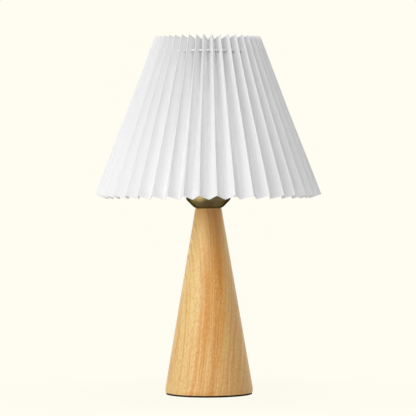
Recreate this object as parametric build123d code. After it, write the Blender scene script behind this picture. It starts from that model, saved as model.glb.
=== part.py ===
from build123d import *
import math
import os

# Pleated table lamp. Millimetres, +Z up, origin on the floor under the lamp's axis.
# The front faces -Y and the mains lead enters at the back, on +Y.

# Wooden base
FOOT_RADIUS = 48.8          # lower edge of the wood
BELLY_RADIUS = 49.1         # widest place, before its corner is rounded
BELLY_HEIGHT = 4.0          # widest place above the lower edge
NECK_RADIUS = 14.7          # top of the wood
WOOD_HEIGHT = 206.0
BELLY_ROUND = 8.0
NECK_ROUND = 0.6
RECESS_RADIUS = 35.0        # hollow under the base for ballast and wiring
RECESS_DEPTH = 30.0
PAD_THICKNESS = 2.0
PAD_INSET = 0.6             # pad edge inside the wood's lower edge

# Ballast and the threaded tube that clamps the stack
WEIGHT_THICKNESS = 16.0
WASHER_RADIUS = 11.0
WASHER_THICKNESS = 1.5
NUT_FLATS = 14.0
NUT_THICKNESS = 4.0
TUBE_RADIUS = 5.0
TUBE_BORE_RADIUS = 3.75
TUBE_BELOW_NUT = 2.0

# Mains lead inlet
INLET_HEIGHT = 7.0          # bush centre above the wood's lower edge
BUSH_RADIUS = 5.0
BUSH_BORE_RADIUS = 3.4
BUSH_FLANGE_RADIUS = 6.5
BUSH_FLANGE_THICKNESS = 1.5
BUSH_INNER_END = 1.0        # length that stands into the recess

# Terminal block and wiring
BLOCK_DEPTH = 14.0          # along X
BLOCK_WIDTH = 20.0          # along Y
BLOCK_HEIGHT = 10.0
BLOCK_WALL_GAP = 5.0        # block to the recess wall
POLE_SPACING = 10.0
CLAMP_SPACING = 7.0         # between the two clamp screws of a pole
CLAMP_RADIUS = 1.3
FIXING_RADIUS = 1.5
FIXING_HEAD_RADIUS = 2.6
FIXING_HEAD_THICKNESS = 1.8
FIXING_GRIP = 6.0           # thread length in the ballast
LEAD_RADIUS = 1.1
LEAD_SPACING = 2.8          # between the two leads inside the tube
LEAD_BEND = 2.6
LEAD_FLOOR_GAP = 2.0        # lead above the pad
LEAD_STRAIGHT = 0.5         # lead out of the block before it bends

# Brass cup: a cone that turns up into an upright side
CUP_RADIUS = 25.0           # upright side
CUP_FOOT_RADIUS = 15.1      # where the cone would meet the wood if its foot were sharp
CUP_CONE_HEIGHT = 9.9       # where the cone would meet the upright side if the bend were sharp
CUP_HEIGHT = 22.0
CUP_WALL = 0.9
CUP_FOOT_ROUND = 7.0        # on the inside
CUP_BEND_ROUND = 4.0        # on the inside

# Lampholder for an E27 bulb
LOCK_WASHER_RADIUS = 9.0
LOCK_WASHER_THICKNESS = 1.2
HOLDER_RADIUS = 20.0
CAP_HEIGHT = 14.0
CAP_BOSS_RADIUS = 10.5
CAP_BOSS_HEIGHT = 5.0
CAP_FLARE_HEIGHT = 6.0
CAP_FLOOR_HEIGHT = 8.5      # solid height around the tube
CAP_SPIGOT_HEIGHT = 4.0     # stands inside the skirt
CAP_WALL = 1.5
GRUB_RADIUS = 1.5
GRUB_HEIGHT = 2.5
GRUB_SINK = 0.3             # outer end below the boss surface
SKIRT_HEIGHT = 42.0
SKIRT_WALL = 1.4
SKIRT_LIP_THICKNESS = 2.0
SHOULDER_HEIGHT = 14.0      # seat for the shade, above the skirt's lower end
SHOULDER_RADIUS = 23.0
SHOULDER_THICKNESS = 2.5
INSERT_HEIGHT = 10.0
TERMINAL_RADIUS = 9.0       # lead holes from the axis
TERMINAL_DEPTH = 6.0
TERMINAL_SCREW_RADIUS = 1.5
TERMINAL_SCREW_LENGTH = 4.0
TERMINAL_HEAD_RADIUS = 2.5
TERMINAL_HEAD_THICKNESS = 2.0
TERMINAL_SCREW_HEIGHT = 3.5
SHELL_WALL = 0.5
SHELL_FLOOR = 0.6
SHELL_FLOOR_HOLE = 7.0
CONTACT_WIDTH = 5.0
CONTACT_LENGTH = 8.0
CONTACT_RISE = 2.7
CONTACT_SHEET = 0.5
CONTACT_PAD_LENGTH = 6.5

# Bulb with an E27 cap
BULB_RADIUS = 30.0
BULB_LENGTH = 110.0
BULB_CAP_RADIUS = 13.1
BULB_CAP_WALL = 0.5
BULB_CAP_LENGTH = 21.0
BULB_TIP_RADIUS = 4.75
BULB_TIP_THICKNESS = 1.5
INSULATOR_FOOT_RADIUS = 6.0
INSULATOR_CONE = 3.5
INSULATOR_PLUG = 3.0        # length held inside the cap
HOUSING_WALL = 1.6
HOUSING_NECK_RADIUS = 14.4
HOUSING_NECK_LENGTH = 3.0
GLOBE_WALL = 1.2
GLOBE_SEAM_DROP = 14.0      # housing edge below the globe's centre

# Shade ring on the lampholder's thread
RING_WASHER_RADIUS = 26.0
RING_WASHER_THICKNESS = 0.8
RING_FLANGE_RADIUS = 26.5
RING_FLANGE_THICKNESS = 3.0
RING_COLLAR_RADIUS = 24.0
RING_HEIGHT = 8.0
GRIP_NOTCHES = 18
GRIP_NOTCH_RADIUS = 1.2

# Shade frame
FITTER_RADIUS = 29.0
FITTER_THICKNESS = 1.6
FITTER_PLAY = 1.0           # fitter hole around the lampholder
FRAME_LIFT = 15.2           # fitter and lower wire above the cover's lower ridge ends
LOWER_WIRE_RADIUS = 1.5
UPPER_WIRE_RADIUS = 1.1
UPPER_WIRE_DROP = 17.5      # upper wire below the cover's upper ridge ends
UPPER_WIRE_DEPTH = 9.0      # upper wire inside the ridge line
ARM_COUNT = 3
ARM_RADIUS = 1.3
RIB_COUNT = 3
RIB_RADIUS = 1.0

# Pleated cover, given on the sheet's middle surface
PLEAT_COUNT = 42
PANEL_WIDTH = 15.0          # from one fold to the next, across the pleat
COVER_LOWER_RADIUS = 126.4
COVER_UPPER_RADIUS = 59.3
COVER_HEIGHT = 176.3        # along the axis, at the ridges
COVER_THICKNESS = 0.6
SLOT_HEIGHT = 5.0           # cut in each panel for the upper wire

# Clearances
DROP_IN = 0.3               # pieces that drop into one another
THREAD = 0.05               # screwed pieces
SLIP = 0.1                  # pieces pushed into a bore
RUNNING = 0.06              # ring on the lampholder's thread
BULB_PLAY = 0.5             # bulb cap in the screw shell
CONTACT_GAP = 0.05          # bulb tip above its contact

# Levels, built up from the floor
WOOD_BOTTOM = PAD_THICKNESS
WOOD_TOP = WOOD_BOTTOM + WOOD_HEIGHT
RECESS_ROOF = WOOD_BOTTOM + RECESS_DEPTH
WEIGHT_BOTTOM = RECESS_ROOF - WEIGHT_THICKNESS
NUT_BOTTOM = WEIGHT_BOTTOM - WASHER_THICKNESS - NUT_THICKNESS
TUBE_BOTTOM = NUT_BOTTOM - TUBE_BELOW_NUT
INLET_LEVEL = WOOD_BOTTOM + INLET_HEIGHT
LOCK_WASHER_BOTTOM = WOOD_TOP + CUP_WALL
CAP_BOTTOM = LOCK_WASHER_BOTTOM + LOCK_WASHER_THICKNESS
TUBE_TOP = CAP_BOTTOM + CAP_FLOOR_HEIGHT
SKIRT_BOTTOM = CAP_BOTTOM + CAP_HEIGHT
SKIRT_TOP = SKIRT_BOTTOM + SKIRT_HEIGHT
INSERT_BOTTOM = SKIRT_BOTTOM + CAP_SPIGOT_HEIGHT
INSERT_TOP = INSERT_BOTTOM + INSERT_HEIGHT
SHOULDER_LEVEL = SKIRT_BOTTOM + SHOULDER_HEIGHT
FITTER_MIDDLE = SHOULDER_LEVEL + FITTER_THICKNESS / 2
RING_WASHER_BOTTOM = SHOULDER_LEVEL + FITTER_THICKNESS
RING_BOTTOM = RING_WASHER_BOTTOM + RING_WASHER_THICKNESS
BULB_BOTTOM = INSERT_TOP + CONTACT_RISE + CONTACT_GAP
COVER_BOTTOM = FITTER_MIDDLE - FRAME_LIFT
COVER_TOP = COVER_BOTTOM + COVER_HEIGHT
UPPER_WIRE_LEVEL = COVER_TOP - UPPER_WIRE_DROP

# Radii that follow from what they fit
TUBE_HOLE = TUBE_RADIUS + DROP_IN
TUBE_THREAD = TUBE_RADIUS + THREAD
SKIRT_BORE = HOLDER_RADIUS - SKIRT_WALL
SHELL_BORE = BULB_CAP_RADIUS + BULB_PLAY
SHELL_RADIUS = SHELL_BORE + SHELL_WALL
FITTER_HOLE = HOLDER_RADIUS + FITTER_PLAY
BLOCK_CENTRE = -(RECESS_RADIUS - BLOCK_WALL_GAP - BLOCK_DEPTH / 2)
POLE_LEVEL = WEIGHT_BOTTOM - BLOCK_HEIGHT / 2

# Pleat geometry: each fold line is straight from the lower to the upper end
PLEAT_HALF_ANGLE = math.pi / PLEAT_COUNT
COVER_LEAN = (COVER_LOWER_RADIUS - COVER_UPPER_RADIUS) / COVER_HEIGHT


def ring(outer: float, inner: float, bottom: float, height: float) -> Part:
    """A ring on the lamp's axis, or a disc where the inner radius is 0."""
    section = Circle(outer)
    if inner > 0:
        section -= Circle(inner)
    return Pos(0, 0, bottom) * extrude(section, height)


def turned(outline: Sketch | Face, bottom: float = 0.0) -> Part:
    """A turned solid from an outline drawn as (radius, height)."""
    return Pos(0, 0, bottom) * revolve(Plane.XZ * outline, Axis.Z)


def turned_polygon(points: list[tuple[float, float]], bottom: float = 0.0) -> Part:
    """A turned solid with straight sides, from (radius, height) corners."""
    return turned(make_face(Polyline(*points, close=True)), bottom)


def rod(start: Vector, end: Vector, radius: float) -> Part:
    """A straight round rod between two points."""
    along = end - start
    blank = extrude(Circle(radius), along.length)
    return Plane(origin=start, z_dir=along) * blank


def polar(radius: float, angle: float, level: float) -> Vector:
    """A point from its distance to the axis, its angle in radians and its level."""
    return Vector(radius * math.cos(angle), radius * math.sin(angle), level)


def rounded(outline: Sketch, corner: tuple[float, float], radius: float) -> Sketch:
    """The outline with its vertex nearest to a corner rounded."""
    vertex = outline.vertices().sort_by_distance(Vector(*corner))[0]
    return fillet(vertex, radius)


def across(radius: float, start: float, end: float, x: float, level: float) -> Part:
    """A round bar along Y, at a given X and level."""
    return rod(Vector(x, start, level), Vector(x, end, level), radius)


# Wooden base and what is inside it

def wood_radius(level: float) -> float:
    """Radius of the wood's straight taper at a level."""
    belly_level = WOOD_BOTTOM + BELLY_HEIGHT
    share = (level - belly_level) / (WOOD_TOP - belly_level)
    return BELLY_RADIUS + (NECK_RADIUS - BELLY_RADIUS) * share


SPOT_FACE_RADIUS = BUSH_FLANGE_RADIUS + DROP_IN
SPOT_FACE_RIM = math.sqrt(wood_radius(INLET_LEVEL + SPOT_FACE_RADIUS) ** 2 - SPOT_FACE_RADIUS ** 2)
BUSH_SEAT = SPOT_FACE_RIM - BUSH_FLANGE_THICKNESS


def base_pad() -> Part:
    return ring(FOOT_RADIUS - PAD_INSET, 0, 0, PAD_THICKNESS)


def wood_base() -> Part:
    """Tapered wood with the recess, the tube's bore and the inlet at the back."""
    belly = (BELLY_RADIUS, BELLY_HEIGHT)
    neck = (NECK_RADIUS, WOOD_HEIGHT)
    corners = [(0, 0), (FOOT_RADIUS, 0), belly, neck, (0, WOOD_HEIGHT)]
    outline = make_face(Polyline(*corners, close=True))
    outline = rounded(outline, belly, BELLY_ROUND)
    outline = rounded(outline, neck, NECK_ROUND)
    wood = turned(outline, WOOD_BOTTOM)
    wood -= ring(RECESS_RADIUS, 0, WOOD_BOTTOM, RECESS_DEPTH)
    wood -= ring(TUBE_HOLE, 0, WOOD_BOTTOM, WOOD_HEIGHT)
    wood -= across(BUSH_RADIUS + SLIP, 0, BELLY_RADIUS, 0, INLET_LEVEL)
    wood -= across(SPOT_FACE_RADIUS, BUSH_SEAT, BELLY_RADIUS, 0, INLET_LEVEL)
    return wood


def cord_bush() -> Part:
    """Rubber bush: sleeve through the wood with a flange on the spot face."""
    inner_end = math.sqrt(RECESS_RADIUS ** 2 - BUSH_RADIUS ** 2) - BUSH_INNER_END
    bush = across(BUSH_RADIUS, inner_end, BUSH_SEAT, 0, INLET_LEVEL)
    bush += across(BUSH_FLANGE_RADIUS, BUSH_SEAT, SPOT_FACE_RIM, 0, INLET_LEVEL)
    return bush - across(BUSH_BORE_RADIUS, inner_end, SPOT_FACE_RIM, 0, INLET_LEVEL)


def base_weight() -> Part:
    """Iron disc against the recess roof, tapped for the terminal block's screw."""
    weight = ring(RECESS_RADIUS - DROP_IN, TUBE_HOLE, WEIGHT_BOTTOM, WEIGHT_THICKNESS)
    hole = ring(FIXING_RADIUS + THREAD, 0, WEIGHT_BOTTOM, FIXING_GRIP + DROP_IN)
    return weight - Pos(BLOCK_CENTRE, 0, 0) * hole


def lower_washer() -> Part:
    return ring(WASHER_RADIUS, TUBE_HOLE, WEIGHT_BOTTOM - WASHER_THICKNESS, WASHER_THICKNESS)


def lower_nut() -> Part:
    hexagon = RegularPolygon(NUT_FLATS / 2, 6, major_radius=False) - Circle(TUBE_THREAD)
    return Pos(0, 0, NUT_BOTTOM) * extrude(hexagon, NUT_THICKNESS)


def lamp_tube() -> Part:
    return ring(TUBE_RADIUS, TUBE_BORE_RADIUS, TUBE_BOTTOM, TUBE_TOP - TUBE_BOTTOM)


# Terminal block and leads

def clamp_places() -> list[tuple[float, float]]:
    """X and Y of the block's four clamp screws."""
    shifts = (-CLAMP_SPACING / 2, CLAMP_SPACING / 2)
    poles = (-POLE_SPACING / 2, POLE_SPACING / 2)
    return [(BLOCK_CENTRE + shift, pole) for shift in shifts for pole in poles]


def terminal_block() -> Part:
    """Two-pole block under the ballast, with through holes for the leads."""
    bottom = WEIGHT_BOTTOM - BLOCK_HEIGHT
    block = Pos(BLOCK_CENTRE, 0, bottom) * extrude(Rectangle(BLOCK_DEPTH, BLOCK_WIDTH), BLOCK_HEIGHT)
    for pole in (-POLE_SPACING / 2, POLE_SPACING / 2):
        start = Vector(BLOCK_CENTRE - BLOCK_DEPTH / 2, pole, POLE_LEVEL)
        end = Vector(BLOCK_CENTRE + BLOCK_DEPTH / 2, pole, POLE_LEVEL)
        block -= rod(start, end, LEAD_RADIUS + SLIP)
    clamp_hole = ring(CLAMP_RADIUS + THREAD, 0, bottom, POLE_LEVEL - bottom)
    for x, y in clamp_places():
        block -= Pos(x, y, 0) * clamp_hole
    fixing_hole = ring(FIXING_RADIUS + SLIP, 0, bottom, BLOCK_HEIGHT)
    head_hole = ring(FIXING_HEAD_RADIUS + SLIP, 0, bottom, FIXING_HEAD_THICKNESS)
    return block - Pos(BLOCK_CENTRE, 0, 0) * (fixing_hole + head_hole)


def terminal_block_screws() -> Compound:
    """Four clamp screws that reach up to the leads."""
    bottom = WEIGHT_BOTTOM - BLOCK_HEIGHT
    screw = ring(CLAMP_RADIUS, 0, bottom, POLE_LEVEL - LEAD_RADIUS - THREAD - bottom)
    return Compound([Pos(x, y, 0) * screw for x, y in clamp_places()])


def block_fixing_screw() -> Part:
    """Screw that holds the block to the ballast."""
    bottom = WEIGHT_BOTTOM - BLOCK_HEIGHT
    head = ring(FIXING_HEAD_RADIUS, 0, bottom, FIXING_HEAD_THICKNESS)
    shank = ring(FIXING_RADIUS, 0, bottom, BLOCK_HEIGHT + FIXING_GRIP)
    return Pos(BLOCK_CENTRE, 0, 0) * (head + shank)


def lead(side: int) -> Part:
    """One insulated lead from the terminal block, up the tube, to the lampholder."""
    pole = side * POLE_SPACING / 2
    in_tube = side * LEAD_SPACING / 2
    terminal = side * TERMINAL_RADIUS
    drop = BLOCK_CENTRE + BLOCK_DEPTH / 2 + LEAD_STRAIGHT + LEAD_BEND
    floor = WOOD_BOTTOM + LEAD_FLOOR_GAP + LEAD_RADIUS
    route = [
        (BLOCK_CENTRE, pole, POLE_LEVEL),
        (drop, pole, POLE_LEVEL),
        (drop, in_tube, floor),
        (0, in_tube, floor),
        (0, in_tube, TUBE_TOP + LEAD_RADIUS),
        (0, terminal, INSERT_BOTTOM - LEAD_RADIUS),
        (0, terminal, INSERT_BOTTOM + TERMINAL_DEPTH),
    ]
    path = FilletPolyline(*route, radius=LEAD_BEND)
    section = Plane(origin=path @ 0, z_dir=path % 0) * Circle(LEAD_RADIUS)
    return sweep(section, path=path)


def line_lead() -> Part:
    return lead(1)


def neutral_lead() -> Part:
    return lead(-1)


# Brass cup

def cup_blank(inset: float) -> Part:
    """The cup as a solid block, with every face but the rim moved in by the inset."""
    spread = (CUP_RADIUS - CUP_FOOT_RADIUS) / CUP_CONE_HEIGHT
    foot = (CUP_FOOT_RADIUS - inset * (math.hypot(1, spread) - spread), inset)
    side = CUP_RADIUS - inset
    bend = (side, inset + (side - foot[0]) / spread)
    corners = [(0, inset), foot, bend, (side, CUP_HEIGHT), (0, CUP_HEIGHT)]
    outline = make_face(Polyline(*corners, close=True))
    outline = rounded(outline, foot, CUP_FOOT_ROUND + CUP_WALL - inset)
    outline = rounded(outline, bend, CUP_BEND_ROUND + CUP_WALL - inset)
    return turned(outline, WOOD_TOP)


def brass_cup() -> Part:
    """Spun cup with a flat floor, clamped on the wood by the tube."""
    return cup_blank(0) - cup_blank(CUP_WALL) - ring(TUBE_HOLE, 0, WOOD_TOP, CUP_WALL)


# Lampholder

def lock_washer() -> Part:
    return ring(LOCK_WASHER_RADIUS, TUBE_HOLE, LOCK_WASHER_BOTTOM, LOCK_WASHER_THICKNESS)


def holder_cap() -> Part:
    """Lower shell of the lampholder, screwed on the tube, open at the top."""
    flare_top = CAP_BOSS_HEIGHT + CAP_FLARE_HEIGHT
    spigot = SKIRT_BORE - SLIP
    spigot_top = CAP_HEIGHT + CAP_SPIGOT_HEIGHT
    cap = turned_polygon([
        (TUBE_THREAD, 0),
        (CAP_BOSS_RADIUS, 0),
        (CAP_BOSS_RADIUS, CAP_BOSS_HEIGHT),
        (HOLDER_RADIUS, flare_top),
        (HOLDER_RADIUS, CAP_HEIGHT),
        (spigot, CAP_HEIGHT),
        (spigot, spigot_top),
        (spigot - CAP_WALL, spigot_top),
        (spigot - CAP_WALL, flare_top + CAP_WALL),
        (CAP_BOSS_RADIUS - CAP_WALL, CAP_FLOOR_HEIGHT),
        (TUBE_THREAD, CAP_FLOOR_HEIGHT),
    ], CAP_BOTTOM)
    return cap - grub(GRUB_RADIUS + THREAD, 0, CAP_BOSS_RADIUS)


def grub(radius: float, inner_end: float, outer_end: float) -> Part:
    """Round bar along X at the lock screw's level."""
    level = CAP_BOTTOM + GRUB_HEIGHT
    return rod(Vector(inner_end, 0, level), Vector(outer_end, 0, level), radius)


def lock_screw() -> Part:
    return grub(GRUB_RADIUS, TUBE_THREAD, CAP_BOSS_RADIUS - GRUB_SINK)


def holder_insert() -> Part:
    """Insulating core with two lead holes below and a clamp screw on each side."""
    core = ring(SKIRT_BORE - SLIP, 0, INSERT_BOTTOM, INSERT_HEIGHT)
    lead_hole = ring(LEAD_RADIUS + SLIP, 0, INSERT_BOTTOM, TERMINAL_DEPTH)
    for side in (-1, 1):
        core -= Pos(0, side * TERMINAL_RADIUS, 0) * lead_hole
        core -= terminal_bar(side, TERMINAL_SCREW_RADIUS + THREAD, 0, TERMINAL_SCREW_LENGTH)
        core -= terminal_bar(side, TERMINAL_HEAD_RADIUS + SLIP, TERMINAL_SCREW_LENGTH, HOLDER_RADIUS)
    return core


def terminal_bar(side: int, radius: float, start: float, end: float) -> Part:
    """Round bar of a terminal screw, measured outward from its lead's axis."""
    level = INSERT_BOTTOM + TERMINAL_SCREW_HEIGHT
    inner = side * (TERMINAL_RADIUS + start)
    return across(radius, inner, side * (TERMINAL_RADIUS + end), 0, level)


def terminal_screws() -> Compound:
    """Two screws that clamp the leads in the lampholder's core."""
    tip = LEAD_RADIUS + THREAD
    head_end = TERMINAL_SCREW_LENGTH + TERMINAL_HEAD_THICKNESS
    screws = []
    for side in (-1, 1):
        shank = terminal_bar(side, TERMINAL_SCREW_RADIUS, tip, TERMINAL_SCREW_LENGTH)
        screws.append(shank + terminal_bar(side, TERMINAL_HEAD_RADIUS, TERMINAL_SCREW_LENGTH, head_end))
    return Compound(screws)


def screw_shell() -> Part:
    """Thin threaded cup that takes the bulb's cap."""
    height = SKIRT_TOP - SKIRT_LIP_THICKNESS - DROP_IN - INSERT_TOP
    return turned_polygon([
        (SHELL_FLOOR_HOLE, 0),
        (SHELL_RADIUS, 0),
        (SHELL_RADIUS, height),
        (SHELL_BORE, height),
        (SHELL_BORE, SHELL_FLOOR),
        (SHELL_FLOOR_HOLE, SHELL_FLOOR),
    ], INSERT_TOP)


def centre_contact() -> Part:
    """Bent leaf spring in the floor hole of the screw shell."""
    end = CONTACT_LENGTH / 2
    pad = end - CONTACT_PAD_LENGTH
    profile = [
        (-end, 0),
        (end, 0),
        (end, CONTACT_RISE),
        (pad, CONTACT_RISE),
        (pad, CONTACT_RISE - CONTACT_SHEET),
        (end - CONTACT_SHEET, CONTACT_RISE - CONTACT_SHEET),
        (end - CONTACT_SHEET, CONTACT_SHEET),
        (-end, CONTACT_SHEET),
    ]
    leaf = extrude(Plane.XZ * make_face(Polyline(*profile, close=True)), CONTACT_WIDTH / 2, both=True)
    return Pos(0, 0, INSERT_TOP) * leaf


def holder_skirt() -> Part:
    """Upper shell of the lampholder with the shoulder that the shade rests on."""
    shoulder_base = SHOULDER_HEIGHT - SHOULDER_THICKNESS
    lip = SHELL_RADIUS + DROP_IN
    lip_base = SKIRT_HEIGHT - SKIRT_LIP_THICKNESS
    return turned_polygon([
        (SKIRT_BORE, 0),
        (HOLDER_RADIUS, 0),
        (HOLDER_RADIUS, shoulder_base),
        (SHOULDER_RADIUS, shoulder_base),
        (SHOULDER_RADIUS, SHOULDER_HEIGHT),
        (HOLDER_RADIUS, SHOULDER_HEIGHT),
        (HOLDER_RADIUS, SKIRT_HEIGHT),
        (lip, SKIRT_HEIGHT),
        (lip, lip_base),
        (SKIRT_BORE, lip_base),
    ], SKIRT_BOTTOM)


# Bulb, with heights measured from its tip

INSULATOR_BOTTOM = BULB_TIP_THICKNESS
BULB_CAP_BOTTOM = INSULATOR_BOTTOM + INSULATOR_CONE
INSULATOR_TOP = BULB_CAP_BOTTOM + INSULATOR_PLUG
BULB_CAP_TOP = BULB_CAP_BOTTOM + BULB_CAP_LENGTH
BULB_CAP_BORE = BULB_CAP_RADIUS - BULB_CAP_WALL
PLUG_RADIUS = BULB_CAP_BORE - SLIP
GLOBE_CENTRE = BULB_LENGTH - BULB_RADIUS
GLOBE_SEAM = GLOBE_CENTRE - GLOBE_SEAM_DROP
GLOBE_SEAM_RADIUS = math.sqrt(BULB_RADIUS ** 2 - GLOBE_SEAM_DROP ** 2)


def bulb_tip() -> Part:
    return ring(BULB_TIP_RADIUS, 0, BULB_BOTTOM, BULB_TIP_THICKNESS)


def bulb_insulator() -> Part:
    """Cone between the tip and the cap, with a plug held inside the cap."""
    return turned_polygon([
        (0, INSULATOR_BOTTOM),
        (INSULATOR_FOOT_RADIUS, INSULATOR_BOTTOM),
        (PLUG_RADIUS, BULB_CAP_BOTTOM),
        (PLUG_RADIUS, INSULATOR_TOP),
        (0, INSULATOR_TOP),
    ], BULB_BOTTOM)


def bulb_cap() -> Part:
    return ring(BULB_CAP_RADIUS, BULB_CAP_BORE, BULB_BOTTOM + BULB_CAP_BOTTOM, BULB_CAP_LENGTH)


def bulb_housing() -> Part:
    """Hollow flared body from the cap up to the globe's seam."""
    neck_top = BULB_CAP_TOP + HOUSING_NECK_LENGTH
    seam = (GLOBE_SEAM_RADIUS, GLOBE_SEAM)
    downhill = (-GLOBE_SEAM_DROP, -GLOBE_SEAM_RADIUS)
    outside = TangentArc(seam, (HOUSING_NECK_RADIUS, neck_top), tangent=downhill)
    inside = Pos(-HOUSING_WALL, 0) * outside
    plug_bore = PLUG_RADIUS - HOUSING_WALL
    below = Polyline(
        outside @ 1,
        (HOUSING_NECK_RADIUS, BULB_CAP_TOP),
        (PLUG_RADIUS, BULB_CAP_TOP),
        (PLUG_RADIUS, INSULATOR_TOP),
        (plug_bore, INSULATOR_TOP),
        (plug_bore, neck_top),
        inside @ 1,
    )
    edge = Line(outside @ 0, inside @ 0)
    outline = make_face([*below.edges(), outside.edge(), edge.edge(), inside.edge()])
    return turned(outline, BULB_BOTTOM)


def bulb_globe() -> Part:
    """Opal dome on the housing's edge."""
    outside = dome_arc(BULB_RADIUS)
    inside = dome_arc(BULB_RADIUS - GLOBE_WALL)
    edge = Line(outside @ 0, inside @ 0)
    crown = Line(outside @ 1, inside @ 1)
    outline = make_face([outside.edge(), crown.edge(), inside.edge(), edge.edge()])
    return turned(outline, BULB_BOTTOM)


def dome_arc(radius: float) -> ThreePointArc:
    """Globe profile from the seam to the crown, for one of its two walls."""
    seam = (math.sqrt(radius ** 2 - GLOBE_SEAM_DROP ** 2), GLOBE_SEAM)
    return ThreePointArc(seam, (radius, GLOBE_CENTRE), (0, GLOBE_CENTRE + radius))


# Shade ring

def ring_washer() -> Part:
    return ring(RING_WASHER_RADIUS, HOLDER_RADIUS + DROP_IN, RING_WASHER_BOTTOM, RING_WASHER_THICKNESS)


def shade_ring() -> Part:
    """Threaded clamp ring with a notched flange."""
    flange = ring(RING_FLANGE_RADIUS, 0, RING_BOTTOM, RING_FLANGE_THICKNESS)
    notch = ring(GRIP_NOTCH_RADIUS, 0, RING_BOTTOM, RING_FLANGE_THICKNESS)
    flange -= PolarLocations(RING_FLANGE_RADIUS, GRIP_NOTCHES) * notch
    body = flange + ring(RING_COLLAR_RADIUS, 0, RING_BOTTOM, RING_HEIGHT)
    return body - ring(HOLDER_RADIUS + RUNNING, 0, RING_BOTTOM, RING_HEIGHT)


# Shade: pleated cover and wire frame

def ridge_radius(level: float) -> float:
    """Radius of the outer folds at a level."""
    return COVER_LOWER_RADIUS - COVER_LEAN * (level - COVER_BOTTOM)


def valley_end(ridge: float, ridge_level: float) -> tuple[float, float]:
    """Radius and level of an inner fold's end, one panel width from a ridge's end.

    Both ends of the sheet are cut square to the ridges, so the cut falls inward by the lean.
    """
    half_pitch = ridge * math.sin(PLEAT_HALF_ANGLE)
    radius = ridge * math.cos(PLEAT_HALF_ANGLE) - math.sqrt(PANEL_WIDTH ** 2 - half_pitch ** 2)
    return radius, ridge_level - (ridge - radius) * COVER_LEAN


VALLEY_LOWER_RADIUS, VALLEY_BOTTOM = valley_end(COVER_LOWER_RADIUS, COVER_BOTTOM)
VALLEY_UPPER_RADIUS, VALLEY_TOP = valley_end(COVER_UPPER_RADIUS, COVER_TOP)


def valley_radius(level: float) -> float:
    """Radius of the inner folds at a level."""
    share = (level - VALLEY_BOTTOM) / (VALLEY_TOP - VALLEY_BOTTOM)
    return VALLEY_LOWER_RADIUS + (VALLEY_UPPER_RADIUS - VALLEY_LOWER_RADIUS) * share


def fold_reach(fold: float, next_fold: float) -> float:
    """How far the sheet's face stands from its middle surface, along the radius, at a fold."""
    along = abs(fold - next_fold * math.cos(PLEAT_HALF_ANGLE))
    sideways = next_fold * math.sin(PLEAT_HALF_ANGLE)
    return COVER_THICKNESS / 2 * math.hypot(along, sideways) / sideways


def zigzag(level: float) -> Sketch:
    """Level section of the pleated sheet, with its thickness."""
    ridge = ridge_radius(level)
    valley = valley_radius(level)
    ridge_reach = fold_reach(ridge, valley)
    valley_reach = fold_reach(valley, ridge)
    faces = []
    for side in (1, -1):
        radii = (ridge + side * ridge_reach, valley + side * valley_reach)
        folds = [polar(radii[i % 2], i * PLEAT_HALF_ANGLE, level) for i in range(2 * PLEAT_COUNT)]
        faces.append(Face(Wire.make_polygon(folds)))
    outer, inner = faces
    return Sketch() + (outer - inner)


def upper_wire_radius() -> float:
    """Radius of the upper wire's circle, part way into the pleats."""
    return ridge_radius(UPPER_WIRE_LEVEL) - UPPER_WIRE_DEPTH


def lower_wire_radius() -> float:
    """Radius of the lower wire's circle, just inside the inner folds."""
    ridge = ridge_radius(FITTER_MIDDLE)
    valley = valley_radius(FITTER_MIDDLE)
    return valley - fold_reach(valley, ridge) - DROP_IN - LOWER_WIRE_RADIUS


def pleated_cover() -> Part:
    """Pleated sheet with square-cut ends and a slot in each panel for the upper wire."""
    sheet = loft([zigzag(VALLEY_BOTTOM - PANEL_WIDTH), zigzag(COVER_TOP + PANEL_WIDTH)], ruled=True)
    reach = COVER_LOWER_RADIUS + PANEL_WIDTH
    fall = PANEL_WIDTH * COVER_LEAN
    upper_fall = (reach - COVER_UPPER_RADIUS) * COVER_LEAN
    sheet &= turned_polygon([
        (0, COVER_BOTTOM - COVER_LOWER_RADIUS * COVER_LEAN),
        (reach, COVER_BOTTOM + fall),
        (reach, COVER_TOP + upper_fall),
        (0, COVER_TOP - COVER_UPPER_RADIUS * COVER_LEAN),
    ])
    slot_half = UPPER_WIRE_RADIUS + DROP_IN
    slot_bottom = UPPER_WIRE_LEVEL + slot_half - SLOT_HEIGHT
    wire = upper_wire_radius()
    return sheet - ring(wire + slot_half, wire - slot_half, slot_bottom, SLOT_HEIGHT)


def top_ring() -> Part:
    return Pos(0, 0, UPPER_WIRE_LEVEL) * Torus(upper_wire_radius(), UPPER_WIRE_RADIUS)


def bottom_ring() -> Part:
    return Pos(0, 0, FITTER_MIDDLE) * Torus(lower_wire_radius(), LOWER_WIRE_RADIUS)


def fitter_ring() -> Part:
    return ring(FITTER_RADIUS, FITTER_HOLE, SHOULDER_LEVEL, FITTER_THICKNESS)


def ridge_angle(share: float) -> float:
    """Angle of the ridge nearest to a share of the full turn."""
    return 2 * PLEAT_HALF_ANGLE * round(share * PLEAT_COUNT)


def fitter_arms() -> Compound:
    """Level arms from the fitter's rim to the lower wire, half way between the ribs."""
    hub = ring(FITTER_RADIUS, 0, FITTER_MIDDLE - LOWER_WIRE_RADIUS, 2 * LOWER_WIRE_RADIUS)
    arms = []
    for index in range(ARM_COUNT):
        angle = ridge_angle((index + 0.5) / ARM_COUNT)
        start = polar(FITTER_HOLE, angle, FITTER_MIDDLE)
        end = polar(lower_wire_radius(), angle, FITTER_MIDDLE)
        arms.append(rod(start, end, ARM_RADIUS) - hub - bottom_ring())
    return Compound(arms)


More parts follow.
